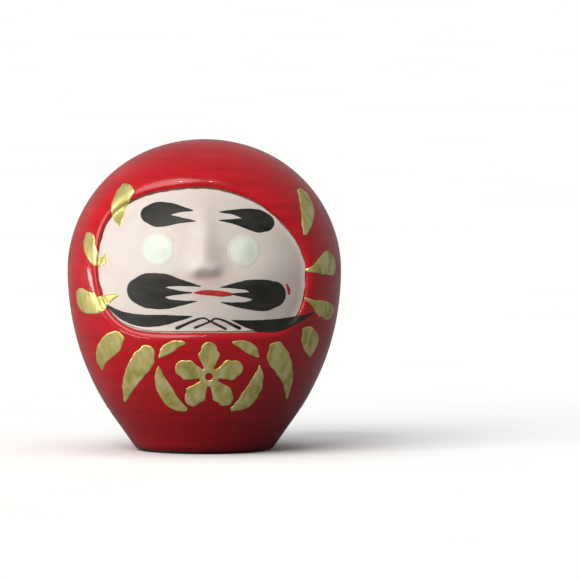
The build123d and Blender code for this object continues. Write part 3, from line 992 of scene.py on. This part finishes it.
GOLD_MARKS = {
    "gold_left_1": [
        [(-11.4, 40.2, 1.0), (-12.2, 38.9, 1.2), (-12.9, 37.3, 1.1),
         (-12.9, 35.8, 0.9), (-12.6, 34.5, 0.2)],
    ],
    "gold_left_2": [
        [(-17.2, 33.0, 0.75), (-17.3, 31.4, 0.95), (-16.6, 29.7, 0.9),
         (-15.5, 29.1, 0.65), (-14.7, 30.2, 0.25)],
    ],
    "gold_left_3": [
        [(-18.8, 24.5, 0.75), (-17.6, 23.1, 1.8), (-16.1, 22.8, 1.4),
         (-14.6, 23.6, 0.7), (-12.9, 24.3, 0.15)],
    ],
    "gold_left_4": [
        [(-12.9, 18.2, 1.05), (-13.9, 17.0, 1.6), (-15.05, 15.4, 1.35),
         (-15.5, 14.0, 0.75), (-15.4, 12.7, 0.15)],
    ],
    "gold_left_5": [
        [(-8.4, 16.4, 1.0), (-9.1, 14.8, 1.65), (-10.4, 12.7, 1.5),
         (-11.3, 10.7, 1.05), (-12.0, 7.9, 0.15)],
    ],
    "gold_right_1": [
        [(14.3, 39.8, 0.35), (15.1, 38.4, 0.8), (15.6, 36.6, 1.0),
         (15.5, 35.1, 0.9), (15.2, 33.3, 0.3)],
    ],
    "gold_right_2": [
        [(15.3, 27.95, 0.25), (16.5, 28.05, 0.65), (17.7, 28.4, 1.35), (18.8, 28.7, 2.0)],
    ],
    "gold_right_3": [
        [(15.1, 23.7, 0.15), (16.3, 23.05, 0.45), (17.5, 22.2, 1.1),
         (18.4, 21.4, 1.25), (18.7, 20.5, 0.6)],
    ],
    "gold_right_4": [
        [(15.5, 19.0, 0.8), (15.9, 17.5, 1.35), (15.9, 16.1, 1.0), (15.9, 14.7, 0.15)],
    ],
    "gold_right_5": [
        [(10.7, 16.8, 1.05), (11.1, 15.0, 1.65), (12.0, 13.1, 1.35),
         (12.5, 11.2, 0.8), (12.4, 8.4, 0.15)],
    ],
}

BLOSSOM_CENTRE = np.array([0.7, 12.2])
# Rows of (distance from the blossom's middle, half width) along a petal.
PETAL = [(1.0, 0.6), (2.1, 1.05), (3.3, 1.6), (4.1, 1.25)]
BLOSSOM_HUB = 1.5
BLOSSOM_EYE = 0.55
# Strokes measured from the blossom's middle, made on its left and its right.
LEAVES = {
    "lower": [(3.4, -5.1, 0.3), (5.0, -4.3, 0.95), (6.4, -2.6, 1.15),
              (7.4, -0.3, 0.8), (7.6, 1.6, 0.1)],
    "upper": [(3.6, 5.2, 0.2), (5.1, 4.9, 0.7), (6.5, 4.0, 0.8), (7.5, 2.9, 0.15)],
}
for side, sign in (("left", -1), ("right", 1)):
    for level, leaf in LEAVES.items():
        path = [(BLOSSOM_CENTRE[0] + sign * x, BLOSSOM_CENTRE[1] + z, w) for x, z, w in leaf]
        GOLD_MARKS[f"leaf_{side}_{level}"] = [path]


def stroke_outline(path, step, end_bulge=1.0):
    """Closed loop round one stroke, anticlockwise; an end_bulge of 1 makes round ends."""
    rows = open_curve(path, 14)
    middle = rows[:, :2]
    half = np.maximum(rows[:, 2], 0.05)[:, None]
    heading = np.gradient(middle, axis=0)
    heading /= np.linalg.norm(heading, axis=1, keepdims=True)
    side = np.column_stack([heading[:, 1], -heading[:, 0]])
    turn = np.linspace(0, pi, 14)[1:-1, None]
    around_far = side[-1] * np.cos(turn) + heading[-1] * np.sin(turn) * end_bulge
    around_near = side[0] * np.cos(turn) + heading[0] * np.sin(turn) * end_bulge
    far_end = middle[-1] + half[-1] * around_far
    near_end = middle[0] - half[0] * around_near
    loop = np.vstack([middle + side * half, far_end, (middle - side * half)[::-1], near_end])
    return even_spacing(loop, step)


def circle(centre, radius, step):
    """Closed loop of points round a circle, about a step apart."""
    count = int(2 * pi * radius / step)
    turn = np.arange(count) * 2 * pi / count
    return np.asarray(centre) + radius * np.column_stack([np.cos(turn), np.sin(turn)])


def painted_mark(name, strokes, height, edge, waver, material, seed, end_bulge):
    """One mark of one or more brush strokes, in place of its CAD node."""
    outlines = [stroke_outline(path, OUTLINE_STEP, end_bulge) for path in strokes]
    loops = [wavering(outline, waver, 0.9, seed) for outline in outlines]
    return paint_patch(
        f"{name}_paint", loops, [], height, edge, FILLING_STEP, material, [name]
    )


def blossom():
    """Five petals and their hub, with a bare eye in the middle."""
    loops = []
    for turn in np.radians(np.arange(90, 450, 72)):
        spoke = np.array([cos(turn), sin(turn)])
        path = [(*(BLOSSOM_CENTRE + spoke * reach), width) for reach, width in PETAL]
        loops.append(wavering(stroke_outline(path, OUTLINE_STEP), 0.09, 1.0, 5.0))
    loops.append(circle(BLOSSOM_CENTRE, BLOSSOM_HUB, 0.15))
    holes = [circle(BLOSSOM_CENTRE, BLOSSOM_EYE, 0.12)]
    return paint_patch(
        "blossom_paint", loops, holes, GOLD, GOLD_EDGE, FILLING_STEP,
        GOLD_PAINT, ["blossom"],
    )


lacquered_body()
front_shell_piece()
white_face()
nose_lump()
for side, seed in (("left", 1.0), ("right", 2.0)):
    eye_spot(side, seed)
for marks, height, edge, waver, material, slot, end_bulge in (
    (INK_MARKS, INK, INK_EDGE, 0.04, BLACK, "black_ink", 1.0),
    (RED_MARKS, INK, INK_EDGE, 0.05, LIPS, "lip_red", 1.0),
    (GOLD_MARKS, GOLD, GOLD_EDGE, 0.12, GOLD_PAINT, "gold_paint", GOLD_END_BULGE),
):
    for seed, (name, strokes) in enumerate(marks.items()):
        painted_mark(name, strokes, height, edge, waver, material, seed, end_bulge)
blossom()

for node, material in (
    ("back_shell", PULP),
    ("seam_strip", PULP),
    ("base_weight", CLAY),
    ("base_disc", BLACK_PAPER),
):
    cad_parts[node].material_slots[0].material = material


# ---- floor, light and camera -----------------------------------------------------------
FLOOR_HALF = 30.0  # metres
WORLD_GLOW = 0.27
BACKDROP_BRIGHTNESS = 0.94
# Suns: name, direction of the light, strength, softness in degrees, colour.
# The last one lights the floor alone.
SUNS = (
    ("daylight", (0.50, 0.66, -0.60), 2.3, 50, (1.0, 0.985, 0.95)),
    ("floor light", (0.1, 0.1, -1.0), 1.15, 60, (1.0, 1.0, 1.0)),
)
DOLL_MIDDLE = (0, 0, HEIGHT / 2)
# Lamps that light the doll alone: name, place, aim, size, power in watts, colour.
LAMPS = (
    ("window", (-230, 10, 22), (-14, -14, 23), (90, 26), 0.13, (1.0, 0.95, 0.93)),
    ("low window", (-90, -60, 3), (-10, -17, 20), (40, 10), 0.016, (1.0, 0.95, 0.93)),
    ("lamp", (-150, -330, 330), DOLL_MIDDLE, (34, 4), 0.16, (1.0, 0.97, 0.93)),
    ("warm lamp", (0, -350, 330), DOLL_MIDDLE, (10, 6), 0.10, (1.0, 0.85, 0.65)),
)
CAMERA_LENS = 600.0
CAMERA_ELEVATION = radians(3.5)
VIEW_WIDTH = 87.8
VIEW_CENTRE = (12.96, 24.15)


def add_floor():
    """The plain floor, which isn't part of the doll."""
    turns = ((-1, -1), (1, -1), (1, 1), (-1, 1))
    corners = [(x * FLOOR_HALF, y * FLOOR_HALF, 0) for x, y in turns]
    mesh = bpy.data.meshes.new("floor")
    mesh.from_pydata(corners, [], [(0, 1, 2, 3)])
    mesh.materials.append(pale_floor())
    floor = bpy.data.objects.new("floor", mesh)
    bpy.context.scene.collection.objects.link(floor)
    return floor


def add_area_light(name, place, aim, size, power, color):
    """A rectangular soft light; place, aim and size are in millimetres."""
    data = bpy.data.lights.new(name, "AREA")
    data.shape = "RECTANGLE"
    data.size, data.size_y = size[0] * MM, size[1] * MM
    data.energy = power
    data.color = color
    light = bpy.data.objects.new(name, data)
    light.location = Vector(place) * MM
    light.visible_camera = False
    light.rotation_euler = (Vector(aim) - Vector(place)).to_track_quat("-Z", "Y").to_euler()
    bpy.context.scene.collection.objects.link(light)
    return light


def lit_group(name, objects):
    """A collection that a light can be kept to."""
    group = bpy.data.collections.new(name)
    for thing in objects:
        group.objects.link(thing)
    return group


def add_world(glow, seen):
    """An even white room: glow is what it lights with, and seen is how bright it looks."""
    world = bpy.data.worlds.new("soft studio")
    world.use_nodes = True
    nodes, links = world.node_tree.nodes, world.node_tree.links
    lighting = nodes["Background"]
    lighting.inputs["Color"].default_value = (1.0, 1.0, 1.0, 1)
    lighting.inputs["Strength"].default_value = glow
    backdrop = nodes.new("ShaderNodeBackground")
    backdrop.inputs["Color"].default_value = (1.0, 1.0, 1.0, 1)
    backdrop.inputs["Strength"].default_value = seen
    ray = nodes.new("ShaderNodeLightPath")
    blend = nodes.new("ShaderNodeMixShader")
    links.new(ray.outputs["Is Camera Ray"], blend.inputs[0])
    links.new(lighting.outputs[0], blend.inputs[1])
    links.new(backdrop.outputs[0], blend.inputs[2])
    links.new(blend.outputs[0], nodes["World Output"].inputs["Surface"])
    bpy.context.scene.world = world


def add_sun(name, toward, strength, softness, color):
    """Even light from one direction; softness is the sun's angle in degrees."""
    data = bpy.data.lights.new(name, "SUN")
    data.energy = strength
    data.angle = radians(softness)
    data.color = color
    light = bpy.data.objects.new(name, data)
    light.rotation_euler = Vector(toward).to_track_quat("-Z", "Y").to_euler()
    bpy.context.scene.collection.objects.link(light)
    return light


def add_camera():
    """A distant camera a little above the doll, turned so that the doll is left of the middle."""
    data = bpy.data.cameras.new("camera")
    data.lens = CAMERA_LENS
    away = VIEW_WIDTH * CAMERA_LENS / data.sensor_width
    height = VIEW_CENTRE[1] + away * sin(CAMERA_ELEVATION)
    place = Vector((0, -away * cos(CAMERA_ELEVATION), height))
    aim = Vector((VIEW_CENTRE[0], 0, VIEW_CENTRE[1]))
    camera = bpy.data.objects.new("camera", data)
    camera.location = place * MM
    camera.rotation_euler = (aim - place).to_track_quat("-Z", "Y").to_euler()
    bpy.context.scene.collection.objects.link(camera)
    bpy.context.scene.camera = camera


floor = add_floor()
ground = lit_group("ground", [floor])
pieces = [o for o in bpy.context.scene.objects if o.type == "MESH" and o is not floor]
doll = lit_group("doll", pieces)
add_world(WORLD_GLOW, BACKDROP_BRIGHTNESS)
suns = [add_sun(*sun) for sun in SUNS]
suns[-1].light_linking.receiver_collection = ground
for lamp in LAMPS:
    add_area_light(*lamp).light_linking.receiver_collection = doll
add_camera()
bpy.context.scene.view_settings.view_transform = "Standard"
